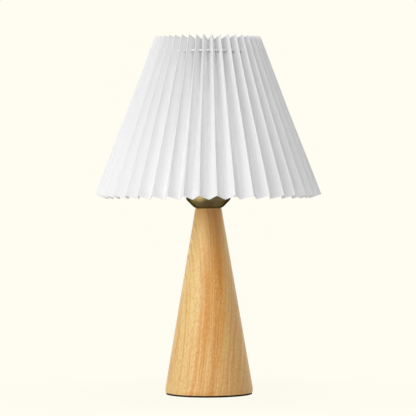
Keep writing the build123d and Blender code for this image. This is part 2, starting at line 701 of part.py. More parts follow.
def frame_ribs() -> Compound:
    """Straight ribs behind the ridges, from the lower to the upper wire."""
    ribs = []
    for index in range(RIB_COUNT):
        angle = ridge_angle(index / RIB_COUNT)
        start = polar(lower_wire_radius(), angle, FITTER_MIDDLE)
        end = polar(upper_wire_radius(), angle, UPPER_WIRE_LEVEL)
        ribs.append(rod(start, end, RIB_RADIUS) - bottom_ring() - top_ring())
    return Compound(ribs)


NODES = [
    base_pad,
    wood_base,
    cord_bush,
    base_weight,
    lower_washer,
    lower_nut,
    lamp_tube,
    terminal_block,
    terminal_block_screws,
    block_fixing_screw,
    line_lead,
    neutral_lead,
    brass_cup,
    lock_washer,
    holder_cap,
    lock_screw,
    holder_insert,
    terminal_screws,
    screw_shell,
    centre_contact,
    holder_skirt,
    bulb_tip,
    bulb_insulator,
    bulb_cap,
    bulb_housing,
    bulb_globe,
    ring_washer,
    shade_ring,
    pleated_cover,
    top_ring,
    bottom_ring,
    fitter_ring,
    fitter_arms,
    frame_ribs,
]


def main() -> None:
    """Build every node and write one STEP file for each."""
    os.makedirs("parts", exist_ok=True)
    for node in NODES:
        export_step(node(), f"parts/{node.__name__}.step")


main()
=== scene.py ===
"""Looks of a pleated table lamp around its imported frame. Metres, +Z up, and the front faces -Y."""
import logging
import math
from collections.abc import Iterable
from dataclasses import dataclass
from enum import Enum
from functools import cache, cached_property
from typing import Any, NamedTuple

import bpy
import numpy as np
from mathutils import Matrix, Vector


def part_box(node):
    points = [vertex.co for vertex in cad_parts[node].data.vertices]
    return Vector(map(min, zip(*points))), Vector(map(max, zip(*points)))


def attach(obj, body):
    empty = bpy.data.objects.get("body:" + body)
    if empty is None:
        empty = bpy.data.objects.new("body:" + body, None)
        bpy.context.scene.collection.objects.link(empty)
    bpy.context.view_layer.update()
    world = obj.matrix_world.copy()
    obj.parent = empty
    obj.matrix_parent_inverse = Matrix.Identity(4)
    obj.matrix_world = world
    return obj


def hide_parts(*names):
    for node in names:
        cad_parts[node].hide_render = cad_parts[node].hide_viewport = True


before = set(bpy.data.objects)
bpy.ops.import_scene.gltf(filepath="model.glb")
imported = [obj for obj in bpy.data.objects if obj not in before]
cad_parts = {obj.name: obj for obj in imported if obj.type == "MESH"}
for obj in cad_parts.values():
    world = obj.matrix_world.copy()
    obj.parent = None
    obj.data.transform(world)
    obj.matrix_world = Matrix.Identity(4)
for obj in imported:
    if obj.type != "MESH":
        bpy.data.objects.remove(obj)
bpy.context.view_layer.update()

# A span is two values between which something comes in, and a corner is a radius and a level
Colour = tuple[float, float, float]
Point = tuple[float, float, float]
Span = tuple[float, float]
Corner = tuple[float, float]
TAU = 2 * math.pi
WHITE: Colour = (1.0, 1.0, 1.0)
log = logging.getLogger("pleated_lamp")


class Body(Enum):
    """The bodies that new pieces ride on."""

    LAMP = "lamp"
    SHADE = "shade"
    BULB = "bulb"


class Slot(Enum):
    """The material slots of the new pieces."""

    FABRIC = "cover_fabric"
    HOLDER = "holder_plastic"
    CONTACT = "contact_brass"
    BULB_METAL = "bulb_metal"


# Node trees

class Signal:
    """A value that varies over a surface: an output socket whose arithmetic adds Math nodes."""

    def __init__(self, recipe: "Recipe", socket: bpy.types.NodeSocket) -> None:
        """Wraps one output socket of a recipe's node tree."""
        self.recipe = recipe
        self.socket = socket

    def output(self, name: str) -> "Signal":
        """Another output of the same node."""
        return Signal(self.recipe, self.socket.node.outputs[name])

    def __add__(self, other: "Signal | float") -> "Signal":
        """This value plus another."""
        return self.recipe.math("ADD", self, other)

    def __radd__(self, other: float) -> "Signal":
        """A number plus this value."""
        return self.recipe.math("ADD", other, self)

    def __sub__(self, other: "Signal | float") -> "Signal":
        """This value minus another."""
        return self.recipe.math("SUBTRACT", self, other)

    def __rsub__(self, other: float) -> "Signal":
        """A number minus this value."""
        return self.recipe.math("SUBTRACT", other, self)

    def __mul__(self, other: "Signal | float") -> "Signal":
        """This value times another."""
        return self.recipe.math("MULTIPLY", self, other)

    def __rmul__(self, other: float) -> "Signal":
        """A number times this value."""
        return self.recipe.math("MULTIPLY", other, self)

    def __pow__(self, power: float) -> "Signal":
        """This value to a power."""
        return self.recipe.math("POWER", self, power)

    def wave(self, period: float) -> "Signal":
        """A sine of this value from 0 to 1, with a given period."""
        return self.recipe.math("SINE", self * (TAU / period)) * 0.5 + 0.5

    def step(self, span: Span) -> "Signal":
        """A soft step of this value: 0 at the span's first end, 1 at its second, which may be the lower."""
        sockets = {"Value": self, "From Min": span[0], "From Max": span[1]}
        return self.recipe.node("ShaderNodeMapRange", {"interpolation_type": "SMOOTHSTEP"}, sockets)


class Layer(NamedTuple):
    """A colour over what lies below it: where it shows, how strongly, and which colour."""

    mask: Signal
    strength: float
    colour: Colour


class Recipe:
    """The node tree of a material or of the world, while it is being written."""

    def __init__(self, tree: bpy.types.NodeTree) -> None:
        """Starts on an emptied node tree."""
        self.tree = tree
        tree.nodes.clear()

    def add(
        self,
        kind: str,
        settings: dict[str, Any] | None = None,
        sockets: dict[str | int, Any] | None = None,
    ) -> bpy.types.Node:
        """Adds one node.

        Args:
            kind: Blender's name of the node's type.
            settings: The node's own properties, set first.
            sockets: Values or signals for its inputs, by name or number.

        Returns:
            The new node.
        """
        made = self.tree.nodes.new(kind)
        for key, value in (settings or {}).items():
            setattr(made, key, value)
        for key, value in (sockets or {}).items():
            if isinstance(value, Signal):
                self.tree.links.new(value.socket, made.inputs[key])
            else:
                made.inputs[key].default_value = value
        return made

    def node(
        self,
        kind: str,
        settings: dict[str, Any] | None = None,
        sockets: dict[str | int, Any] | None = None,
        output: str | int = 0,
    ) -> Signal:
        """One output, by name or number, of a node that is added."""
        return Signal(self, self.add(kind, settings, sockets).outputs[output])

    def close(self, kind: str, surface: Signal) -> None:
        """Adds the tree's output node and links the finished surface to it."""
        self.add(kind, sockets={"Surface": surface})

    def math(self, operation: str, *values: Signal | float) -> Signal:
        """One Math node on values or numbers, in order."""
        return self.node("ShaderNodeMath", {"operation": operation}, dict(enumerate(values)))

    def mix(self, share: Signal | float, first: Any, second: Any) -> Signal:
        """A colour between two colours, the first at share 0 and the second at share 1."""
        sockets = {0: share, 6: opaque(first), 7: opaque(second)}
        return self.node("ShaderNodeMix", {"data_type": "RGBA"}, sockets, 2)

    def layered(self, ground: Signal, layers: Iterable[Layer]) -> Signal:
        """Lays colours over a ground, one after another.

        Args:
            ground: The colour below all layers.
            layers: The layers, from the lowest up.

        Returns:
            The colour that results.
        """
        tone = ground
        for layer in layers:
            tone = self.mix(layer.mask * layer.strength, tone, layer.colour)
        return tone

    def blend(self, share: Signal, first: Signal, second: Signal) -> Signal:
        """A shader between two shaders, the first at share 0 and the second at share 1."""
        return self.node("ShaderNodeMixShader", sockets={0: share, 1: first, 2: second})

    def place(self) -> Signal:
        """The point's place in the object's own coordinates."""
        return self.node("ShaderNodeTexCoord", output="Object")

    def axes(self, vector: Signal) -> tuple[Signal, Signal, Signal]:
        """The X, Y and Z of a vector."""
        parts = self.node("ShaderNodeSeparateXYZ", sockets={0: vector})
        return parts, parts.output("Y"), parts.output("Z")

    def scaled(self, vector: Signal, factors: Point) -> Signal:
        """A vector with its X, Y and Z multiplied."""
        return self.node("ShaderNodeVectorMath", {"operation": "MULTIPLY"}, {0: vector, 1: factors})

    def distance(self, vector: Signal, centre: Point) -> Signal:
        """How far a place is from a centre."""
        return self.node("ShaderNodeVectorMath", {"operation": "DISTANCE"}, {0: vector, 1: centre}, "Value")

    def noise(self, vector: Signal, size: float, detail: float = 2.0) -> Signal:
        """Soft noise from 0 to 1 with features of a given size."""
        sockets = {"Vector": vector, "Scale": 1 / size, "Detail": detail}
        return self.node("ShaderNodeTexNoise", sockets=sockets)

    def bump(self, height: Signal, relief: float) -> Signal:
        """A normal from a height and the relief in metres that one unit of it stands for."""
        return self.node("ShaderNodeBump", sockets={"Strength": 1.0, "Distance": relief, "Height": height})

    def principled(self, sockets: dict[str, Any]) -> Signal:
        """A Principled shader with these sockets."""
        return self.node("ShaderNodeBsdfPrincipled", sockets=sockets)

    def seen(self) -> Signal:
        """How a background tells that it is looked at.

        Returns:
            1 for rays that the camera, a gloss or a clear piece sends, and 0 for the rest.
        """
        path = self.node("ShaderNodeLightPath", output="Is Camera Ray")
        either = self.math("MAXIMUM", path, path.output("Is Glossy Ray"))
        return self.math("MAXIMUM", either, path.output("Is Transmission Ray"))


def opaque(colour: Any) -> Any:
    """A colour of three numbers with full opacity, or a signal as it is."""
    return colour if isinstance(colour, Signal) else (*colour, 1.0)


# Finishes

@dataclass(frozen=True)
class Finish:
    """A finish that becomes one material, made on first use."""

    name: str

    def surface(self, recipe: Recipe) -> Signal:
        """The finish's shader, given by each kind of finish."""
        raise NotImplementedError

    @cache
    def material(self) -> bpy.types.Material:
        """Makes the material, or gives the one made before.

        Returns:
            The finish as a material.
        """
        made = bpy.data.materials.new(self.name)
        made.use_nodes = True
        recipe = Recipe(made.node_tree)
        recipe.close("ShaderNodeOutputMaterial", self.surface(recipe))
        return made

    def dress(self, *nodes: str) -> None:
        """Gives the finish to nodes of the frame.

        Args:
            nodes: The nodes' names.
        """
        for node in nodes:
            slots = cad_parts[node].data.materials
            slots.clear()
            slots.append(self.material())
            log.info("%s wears %s", node, self.name)


@dataclass(frozen=True)
class GrainFinish(Finish):
    """Moulded, cast, coated or plated material with one fine grain.

    Noise in object space moves the colour between two tones, moves the roughness and raises the surface.
    """

    tone: Colour
    second_tone: Colour
    roughness: float
    roughness_spread: float
    grain: float
    relief: float
    metallic: float = 0.0
    coat: float = 0.0
    gloss: float = 0.5
    subsurface: float = 0.0
    subsurface_depth: float = 0.004
    patch_per_grain: float = 12.0
    patch_share: float = 0.6
    patch_levels: Span = (0.3, 0.7)

    def surface(self, recipe: Recipe) -> Signal:
        """Two scales of noise: the fine one is the grain, the coarse one is handling and unevenness.

        Args:
            recipe: The material's node tree.

        Returns:
            The shader.
        """
        place = recipe.place()
        fine = recipe.noise(place, self.grain)
        coarse = recipe.noise(place, self.patch_per_grain * self.grain, detail=4.0)
        speckle = fine * (1 - self.patch_share)
        toning = coarse.step(self.patch_levels) * self.patch_share + speckle
        handling = coarse * self.patch_share + speckle - 0.5
        return recipe.principled({
            "Base Color": recipe.mix(toning, self.tone, self.second_tone),
            "Roughness": self.roughness + handling * self.roughness_spread,
            "Metallic": self.metallic,
            "Coat Weight": self.coat,
            "Specular IOR Level": self.gloss,
            "Subsurface Weight": self.subsurface,
            "Subsurface Radius": WHITE,
            "Subsurface Scale": self.subsurface_depth,
            "Normal": recipe.bump(fine, self.relief),
        })


@dataclass(frozen=True)
class FabricFinish(Finish):
    """Plain-woven white fabric on a clear stiffener.

    Two sines along the sheet's own coordinates give the crossing threads; stretched noise gives thicker
    threads.
    """

    sheet_map: str
    tone: Colour = (0.92, 0.92, 0.92)
    thread_tone: Colour = (0.97, 0.97, 0.97)
    thread: float = 0.0005
    relief: float = 0.00006
    slub_length: float = 0.02
    slub_levels: Span = (0.35, 0.65)
    slub_share: float = 0.7
    weave_share: float = 0.5
    crease_size: float = 0.03
    roughness: float = 0.78
    slub_roughness: float = 0.2
    sheen: float = 0.12
    sheen_roughness: float = 0.5
    gloss: float = 0.25

    def surface(self, recipe: Recipe) -> Signal:
        """Weave, thick threads along both directions and a slow unevenness, on the sheet's coordinates.

        Args:
            recipe: The material's node tree.

        Returns:
            The shader.
        """
        sheet = recipe.node("ShaderNodeUVMap", {"uv_map": self.sheet_map})
        girth, slope, _ = recipe.axes(sheet)
        period = 2 * self.thread
        weave = girth.wave(period) * slope.wave(period)
        stretch = self.slub_length / period
        slub_up = recipe.noise(recipe.scaled(sheet, (stretch, 1.0, 1.0)), self.slub_length, detail=3.0)
        slub_round = recipe.noise(recipe.scaled(sheet, (1.0, stretch, 1.0)), self.slub_length, detail=3.0)
        slubs = (slub_up + slub_round) * 0.5
        unevenness = recipe.noise(sheet, self.crease_size, detail=3.0)
        height = weave * self.weave_share + slubs.step(self.slub_levels) * (1 - self.weave_share)
        toning = slubs * self.slub_share + unevenness * (1 - self.slub_share)
        return recipe.principled({
            "Base Color": recipe.mix(toning, self.tone, self.thread_tone),
            "Roughness": self.roughness + slubs * self.slub_roughness,
            "Sheen Weight": self.sheen,
            "Sheen Roughness": self.sheen_roughness,
            "Specular IOR Level": self.gloss,
            "Normal": recipe.bump(height, self.relief),
        })


@dataclass(frozen=True)
class Streaks:
    """Noise that is drawn out along the trunk: its width, its width over its length, and its detail."""

    width: float
    slimness: float
    detail: float = 2.0

    def over(self, recipe: Recipe, place: Signal) -> Signal:
        """The noise at a place, from 0 to 1."""
        return recipe.noise(recipe.scaled(place, (1.0, 1.0, self.slimness)), self.width, self.detail)


@dataclass(frozen=True)
class WoodFinish(Finish):
    """Turned honey-coloured wood under a satin lacquer.

    The blank is cut far from the pith, so its growth rings are nearly flat sheets. A count runs across
    them: it follows X and a little of Y, sweeps to the right and back on the way up, and is bent by slow
    noise. Noise along the count gives bands and long thin lines. One broad flame of amber, paler at the
    foot, ends in a darker edge with a thin russet vein, with pale sapwood to its left and tan wood to its
    right. Towards the neck the colour carries painted light and shade for the lampshade's shadow there:
    the core turns brown inside a ragged border, partly the darker flame and partly painted shade, and
    brown lines are painted as shade; the tan fades and the wood beside the core is painted paler as
    light against that shadow; warm bounce light is painted in; and the very top under the cup is painted
    a warmer, darker tone as shade. A thin pale band at the upper arris is a painted highlight. Noise drawn
    out along the trunk gives the fibres, flecks and short pores.

    A span named after a zone holds the counts or heights between which the zone comes in. A span named
    after a streak holds the values of its noise between which the streak shows.
    """

    sapwood: Colour = (0.98, 0.72, 0.310)
    pale: Colour = (0.94, 0.66, 0.270)
    honey: Colour = (0.88, 0.54, 0.185)
    amber: Colour = (0.77, 0.318, 0.052)
    tan: Colour = (0.74, 0.41, 0.152)
    # Painted warm bounce light at the neck and warm shade under the cup
    warm_painted_light_and_shade: Colour = (0.86, 0.46, 0.130)
    russet: Colour = (0.60, 0.205, 0.032)
    # Pores, and painted shade at the neck
    brown: Colour = (0.38, 0.150, 0.036)

    across: tuple[float, float] = (0.97, 0.15)
    sweep: float = 0.010
    sweep_start: float = 0.030
    sweep_span: float = 0.200
    sway: float = 0.010
    wavering: float = 0.004
    raggedness: float = 0.012

    bends: Streaks = Streaks(0.030, 0.15, 1.0)
    wavers: Streaks = Streaks(0.009, 0.10, 1.0)
    bands: Streaks = Streaks(0.0060, 0.03)
    lines: Streaks = Streaks(0.0016, 0.012)
    tongues: Streaks = Streaks(0.0090, 0.13)
    fibres: Streaks = Streaks(0.0009, 0.04)
    flecks: Streaks = Streaks(0.0011, 0.28, 1.0)
    pores: Streaks = Streaks(0.0007, 0.08, 1.0)

    flame_start: Span = (-0.042, -0.010)
    flame_end: Span = (0.014, -0.001)
    core_start: Span = (-0.017, -0.007)
    edge_start: Span = (-0.009, -0.003)
    edge_end: Span = (0.003, -0.002)
    vein_start: Span = (-0.0040, -0.0018)
    vein_end: Span = (0.0014, -0.0004)
    sap_zone: Span = (-0.020, -0.036)
    tan_zone: Span = (-0.002, 0.016)
    neck_zone: Span = (0.12, 0.21)
    foot_zone: Span = (0.100, 0.030)
    # Painted shade under the cup
    cup_shade_zone: Span = (0.175, 0.206)
    # Painted highlight on the upper arris
    arris_highlight_zone: Span = (0.2066, 0.2076)

    honey_band: Span = (0.35, 0.65)
    amber_band: Span = (0.1, 1.0)
    amber_line: Span = (0.52, 0.68)
    pale_line: Span = (0.48, 0.32)
    brown_line: Span = (0.54, 0.66)
    dark_streak: Span = (0.50, 0.66)
    pale_streak: Span = (0.50, 0.34)
    vein_tongue: Span = (0.25, 0.55)
    pore: Span = (0.64, 0.74)

    band_share: float = 0.6
    band_pull: float = 1.1
    tongue_pull: float = 1.6
    line_pull: float = 0.4
    flame_strength: float = 0.8
    foot_paling: float = 0.2
    # Painted light: how far the tan fades at the neck, against the lampshade's shadow
    painted_light_tan_loss: float = 0.8
    sap_foot_loss: float = 0.5
    # Painted warm bounce light beside the core at the neck
    painted_bounce_share: float = 0.1
    fibre_height: float = 0.6
    pore_depth: float = 0.8

    roughness: float = 0.38
    fibre_roughness: float = 0.14
    pore_roughness: float = 0.1
    gloss: float = 0.42
    coat: float = 0.08
    coat_roughness: float = 0.35
    relief: float = 0.00004

    def count(self, recipe: Recipe, place: Signal) -> Signal:
        """How far across the growth rings a point lies.

        The count is a share of X and of Y, less a sine of the height, plus two slow noises.

        Args:
            recipe: The material's node tree.
            place: The point's place.

        Returns:
            The count in metres.
        """
        x, y, z = recipe.axes(place)
        bend = self.bends.over(recipe, place) - 0.5
        waver = self.wavers.over(recipe, place) - 0.5
        sweep = recipe.math("SINE", (z - self.sweep_start) * (math.pi / self.sweep_span)) * self.sweep
        return x * self.across[0] + y * self.across[1] - sweep + bend * self.sway + waver * self.wavering

    def surface(self, recipe: Recipe) -> Signal:
        """Zones of the count, then streaks, then zones of the height, laid over a banded ground.

        Args:
            recipe: The material's node tree.

        Returns:
            The shader.
        """
        place = recipe.place()
        _, y, z = recipe.axes(place)
        count = self.count(recipe, place)
        sheets = recipe.node("ShaderNodeCombineXYZ", sockets={0: count, 2: z})
        grain = recipe.node("ShaderNodeCombineXYZ", sockets={0: count, 1: y, 2: z})
        bands = self.bands.over(recipe, sheets)
        lines = self.lines.over(recipe, sheets)
        tongues = self.tongues.over(recipe, sheets)
        fibres = self.fibres.over(recipe, grain)
        flecks = self.flecks.over(recipe, grain)
        pores = self.pores.over(recipe, grain).step(self.pore)

        neck = z.step(self.neck_zone)
        foot = z.step(self.foot_zone)
        flame = count.step(self.flame_start) * count.step(self.flame_end)
        ragged = count + (tongues - 0.5) * self.raggedness
        core = ragged.step(self.core_start) * ragged.step(self.flame_end)
        edge = ragged.step(self.edge_start) * ragged.step(self.edge_end)
        vein = count.step(self.vein_start) * count.step(self.vein_end) * tongues.step(self.vein_tongue)
        streaking = (bands - 0.5) * self.band_pull + (lines - 0.5) * self.line_pull
        unevenness = streaking + (tongues - 0.5) * self.tongue_pull
        ambering = flame * (self.flame_strength - foot * self.foot_paling) + unevenness

        banding = bands * self.band_share + lines * (1 - self.band_share)
        ground = recipe.mix(banding.step(self.honey_band), self.pale, self.honey)
        tone = recipe.layered(ground, [
            # Zones across the rings
            # Tan fades towards the neck: painted light against the lampshade's shadow
            Layer(count.step(self.tan_zone) * (1 - neck * self.painted_light_tan_loss), 0.8, self.tan),
            Layer(ambering.step(self.amber_band), 0.9, self.amber),
            Layer(count.step(self.sap_zone) * (1 - foot * self.sap_foot_loss), 0.75, self.sapwood),
            Layer(edge, 0.7, self.amber),
            Layer(vein, 0.6, self.russet),
            # Streaks along the trunk
            Layer(lines.step(self.amber_line), 0.6, self.amber),
            Layer(lines.step(self.pale_line), 0.48, self.sapwood),
            Layer(fibres.step(self.dark_streak), 0.2, self.amber),
            Layer(flecks.step(self.dark_streak), 0.38, self.amber),
            Layer(flecks.step(self.pale_streak), 0.30, self.sapwood),
            # Painted light and shade at the neck, then the pores and the painted highlight on the upper arris
            # Painted light: paler beside the core, against the lampshade's shadow
            Layer(neck * (1 - core), 0.55, self.sapwood),
            # Painted warm bounce light from the lampshade and cup
            Layer(neck * (core * (1 - self.painted_bounce_share) + self.painted_bounce_share), 0.5, self.warm_painted_light_and_shade),
            # Painted warm shade under the cup
            Layer(z.step(self.cup_shade_zone), 0.65, self.warm_painted_light_and_shade),
            # Brown core: partly the darker flame, partly painted shade
            Layer(core * neck, 0.6, self.brown),
            # Painted shade: brown lines at the neck
            Layer(lines.step(self.brown_line) * neck, 0.3, self.brown),
            Layer(pores, 0.3, self.brown),
            # Painted highlight on the upper arris
            Layer(z.step(self.arris_highlight_zone), 0.5, self.pale),
        ])
        return recipe.principled({
            "Base Color": tone,
            "Roughness": self.roughness + fibres * self.fibre_roughness + pores * self.pore_roughness,
            "Specular IOR Level": self.gloss,
            "Coat Weight": self.coat,
            "Coat Roughness": self.coat_roughness,
            "Normal": recipe.bump(fibres * self.fibre_height - pores * self.pore_depth, self.relief),
        })


@dataclass(frozen=True)
class AgedBrassFinish(Finish):
    """Brass stained to a dark bronze, rubbed back lightly.

    Noise drawn out around the cup gives fine brushing, and slow noise thins the stain. Towards the foot
    the stain is kept thicker, partly stain gathered there and partly painted shade, so the upper part
    is lighter as painted light. A patch at the front left is a painted highlight in the colour of bare
    brass, and the foot's own edge is worn to the bare brass.
    """

    stain: Colour = (0.120, 0.096, 0.050)
    rubbed: Colour = (0.33, 0.255, 0.125)
    # Bare brass of the worn foot, also the colour of the painted highlight
    bare: Colour = (0.58, 0.42, 0.185)
    edge_tone: Colour = (0.10, 0.09, 0.06)
    brushing: float = 0.0005
    brushing_slimness: float = 0.08
    patch: float = 0.016
    patch_share: float = 0.8
    # Painted highlight at the front left
    highlight_spot: Point = (-0.0105, -0.022, 0.2235)
    highlight_radius: float = 0.0105
    highlight_core: float = 0.4
    highlight_wander: float = 0.006
    highlight_strength: float = 0.8
    foot_wear: float = 0.5
    # Stain kept thicker at the foot: partly gathered stain, partly painted shade, with painted light above
    foot_stain_and_shade: float = 0.3
    stain_and_light_zone: Span = (0.208, 0.218)
    worn_zone: Span = (0.2100, 0.2086)
    thin_stain: Span = (0.40, 0.75)
    roughness: float = 0.26
    brushing_roughness: float = 0.12
    patch_roughness: float = 0.06
    relief: float = 0.00002

    def surface(self, recipe: Recipe) -> Signal:
        """Brushing lines over patches of thinner stain, with the worn foot and the painted highlight on top.

        Args:
            recipe: The material's node tree.

        Returns:
            The shader.
        """
        place = recipe.place()
        _, _, z = recipe.axes(place)
        drawn_out = recipe.scaled(place, (self.brushing_slimness, self.brushing_slimness, 1.0))
        brushing = recipe.noise(drawn_out, self.brushing)
        patches = recipe.noise(place, self.patch, detail=3.0)
        # Painted highlight: a bright patch at the front left, in the bare brass colour
        from_highlight = recipe.distance(place, self.highlight_spot) + (patches - 0.5) * self.highlight_wander
        highlight_spot = from_highlight.step((self.highlight_radius, self.highlight_radius * self.highlight_core))
        worn = z.step(self.worn_zone)
        # Stain thinner above the foot: partly stain gathered at the foot, partly painted light above it
        clear = z.step(self.stain_and_light_zone)
        wiping = patches * self.patch_share + brushing * (1 - self.patch_share)
        thin = wiping.step(self.thin_stain) * (clear * (1 - self.foot_stain_and_shade) + self.foot_stain_and_shade)
        stained = recipe.mix(thin, self.stain, self.rubbed)
        # Worn foot, plus the painted highlight
        wear_and_highlight = highlight_spot * self.highlight_strength + worn * self.foot_wear
        return recipe.principled({
            "Base Color": recipe.mix(wear_and_highlight, stained, self.bare),
            "Metallic": 1.0,
            "Specular Tint": opaque(self.edge_tone),
            "Roughness": self.roughness + brushing * self.brushing_roughness + patches * self.patch_roughness,
            "Normal": recipe.bump(brushing, self.relief),
        })


SHEET_MAP = "sheet"
FABRIC = FabricFinish("cover_fabric", SHEET_MAP)
WOOD = WoodFinish("honey_wood")
AGED_BRASS = AgedBrassFinish("aged_brass")
POWDER_COAT = GrainFinish(
    "white_powder_coat", (0.90, 0.90, 0.89), (0.86, 0.86, 0.85),
    roughness=0.40, roughness_spread=0.15, grain=0.0005, relief=0.00004)
FOAM_RUBBER = GrainFinish(
    "black_foam_rubber", (0.006, 0.006, 0.006), (0.012, 0.011, 0.011),
    roughness=0.85, roughness_spread=0.2, grain=0.0006, relief=0.0002, gloss=0.08)
SOFT_RUBBER = GrainFinish(
    "black_rubber", (0.015, 0.015, 0.015), (0.025, 0.025, 0.024),
    roughness=0.6, roughness_spread=0.2, grain=0.0005, relief=0.00003)
CAST_IRON = GrainFinish(
    "cast_iron", (0.045, 0.045, 0.048), (0.085, 0.078, 0.07),
    roughness=0.7, roughness_spread=0.2, grain=0.0012, relief=0.0003, metallic=0.6)
ZINC_STEEL = GrainFinish(
    "zinc_steel", (0.60, 0.60, 0.58), (0.48, 0.49, 0.50),
    roughness=0.32, roughness_spread=0.2, grain=0.0009, relief=0.00001, metallic=1.0)
BRIGHT_BRASS = GrainFinish(
    "bright_brass", (0.78, 0.57, 0.24), (0.66, 0.45, 0.18),
    roughness=0.26, roughness_spread=0.2, grain=0.0008, relief=0.00001, metallic=1.0)
NICKEL = GrainFinish(
    "nickel_plate", (0.66, 0.65, 0.62), (0.58, 0.57, 0.55),
    roughness=0.22, roughness_spread=0.15, grain=0.0008, relief=0.000008, metallic=1.0)
NATURAL_PLASTIC = GrainFinish(
    "natural_plastic", (0.80, 0.79, 0.73), (0.74, 0.73, 0.66),
    roughness=0.5, roughness_spread=0.15, grain=0.0006, relief=0.00002)
BROWN_INSULATION = GrainFinish(
    "brown_insulation", (0.10, 0.045, 0.022), (0.13, 0.06, 0.03),
    roughness=0.45, roughness_spread=0.15, grain=0.0006, relief=0.00001)
BLUE_INSULATION = GrainFinish(
    "blue_insulation", (0.02, 0.08, 0.30), (0.03, 0.10, 0.35),
    roughness=0.45, roughness_spread=0.15, grain=0.0006, relief=0.00001)
BLACK_PLASTIC = GrainFinish(
    "black_plastic", (0.018, 0.018, 0.019), (0.030, 0.030, 0.030),
    roughness=0.42, roughness_spread=0.2, grain=0.0005, relief=0.00002)
CERAMIC = GrainFinish(
    "ceramic", (0.78, 0.76, 0.70), (0.70, 0.67, 0.60),
    roughness=0.55, roughness_spread=0.2, grain=0.0007, relief=0.00003)
RED_FIBRE = GrainFinish(
    "red_fibre", (0.20, 0.045, 0.025), (0.27, 0.075, 0.04),
    roughness=0.7, roughness_spread=0.2, grain=0.0008, relief=0.00005)
BLACK_GLASS = GrainFinish(
    "black_glass", (0.010, 0.010, 0.012), (0.016, 0.016, 0.018),
    roughness=0.14, roughness_spread=0.08, grain=0.001, relief=0.000005)
WHITE_PLASTIC = GrainFinish(
    "white_plastic", (0.80, 0.80, 0.78), (0.76, 0.76, 0.74),
    roughness=0.30, roughness_spread=0.12, grain=0.0008, relief=0.00001, coat=0.2)
OPAL = GrainFinish(
    "opal", (0.86, 0.86, 0.83), (0.83, 0.83, 0.80),
    roughness=0.20, roughness_spread=0.08, grain=0.0015, relief=0.000004, coat=0.3, subsurface=0.3)


# Meshes

SHARP_EDGE = math.radians(40)
SHARP_FOLD = math.radians(60)


def grid_quads(rows: int, columns: int, closed_rows: bool = False) -> np.ndarray:
    """Corner numbers of a grid's quads, with its columns closed into a ring.

    Args:
        rows: Rows of points.
        columns: Points in a row.
        closed_rows: Whether the last row joins the first.

    Returns:
        An array of (row cells, columns, 4) that faces along columns cross rows.
    """
    row = np.arange(rows if closed_rows else rows - 1)[:, None]
    column = np.arange(columns)[None, :]
    next_row = (row + 1) % rows
    next_column = (column + 1) % columns
    corners = [(row, column), (row, next_column), (next_row, next_column), (next_row, column)]
    return np.stack([i * columns + j for i, j in corners], axis=-1)


def grid_normals(points: np.ndarray) -> np.ndarray:
    """Unit normals of a grid whose columns close into a ring: the cross product of its two slopes.

    Args:
        points: The grid (rows, columns, 3).

    Returns:
        A normal for each point.
    """
    across = np.roll(points, -1, axis=1) - np.roll(points, 1, axis=1)
    up = np.gradient(points, axis=0)
    normal = np.cross(across, up)
    return normal / np.linalg.norm(normal, axis=-1, keepdims=True)


def mesh_object(name: str, points: np.ndarray, quads: np.ndarray, sharp_angle: float) -> bpy.types.Object:
    """A smooth mesh object at the origin.

    Args:
        name: The piece's name.
        points: Points as an array that ends in 3.
        quads: Corner numbers as an array that ends in 4.
        sharp_angle: Edges that turn by more than this stay sharp, in radians.

    Returns:
        The new object.
    """
    mesh = bpy.data.meshes.new(name)
    mesh.from_pydata(points.reshape(-1, 3).tolist(), [], quads.reshape(-1, 4).tolist())
    mesh.polygons.foreach_set("use_smooth", np.ones(len(mesh.polygons), bool))
    mesh.set_sharp_from_angle(angle=sharp_angle)
    mesh.update()
    made = bpy.data.objects.new(name, mesh)
    bpy.context.scene.collection.objects.link(made)
    return made


def upright(radius: float, levels: np.ndarray) -> np.ndarray:
    """A straight run of an outline: one radius at each of the levels."""
    return np.stack([np.full(len(levels), radius), levels], axis=-1)


def spaced(marks: tuple[float, ...], counts: tuple[int, ...]) -> np.ndarray:
    """Places that split each stretch between marks evenly, with a place on each mark.

    Args:
        marks: The marks in order.
        counts: Cells in each stretch.

    Returns:
        The places in order.
    """
    stretches = zip(marks, marks[1:], counts)
    places = [np.linspace(start, end, count, endpoint=False) for start, end, count in stretches]
    return np.append(np.concatenate(places), marks[-1])


def angles_of(columns: int) -> np.ndarray:
    """Evenly spaced angles of a full turn."""
    return np.linspace(0, TAU, columns, endpoint=False)


def soft_step(value: np.ndarray) -> np.ndarray:
    """The cubic soft step of a value cut to 0..1."""
    cut = np.clip(value, 0, 1)
    return cut * cut * (3 - 2 * cut)


def settle(piece: bpy.types.Object, finish: Finish, body: Body, slot: Slot, *nodes: str) -> bpy.types.Object:
    """Gives a new piece its finish and its place in the frame.

    Args:
        piece: The new object.
        finish: Its finish.
        body: The body that it rides on.
        slot: The slot of its finish; not used.
        nodes: The nodes that it stands for.

    Returns:
        The same object.
    """
    piece.data.materials.append(finish.material())
    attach(piece, body.value)
    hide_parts(*nodes)
    log.info("%s: %d faces on %s", piece.name, len(piece.data.polygons), body.value)
    return piece


# Sub-assemblies

@dataclass
class WoodenBase:
    """The turned base with its pad, inlet bush, ballast and wiring."""

    def build(self) -> None:
        """Dresses the base and what it holds."""
        WOOD.dress("wood_base")
        FOAM_RUBBER.dress("base_pad")
        SOFT_RUBBER.dress("cord_bush")
        CAST_IRON.dress("base_weight")
        ZINC_STEEL.dress("lower_washer", "lower_nut", "lamp_tube")
        ZINC_STEEL.dress("terminal_block_screws", "block_fixing_screw")
        NATURAL_PLASTIC.dress("terminal_block")
        BROWN_INSULATION.dress("line_lead")
        BLUE_INSULATION.dress("neutral_lead")


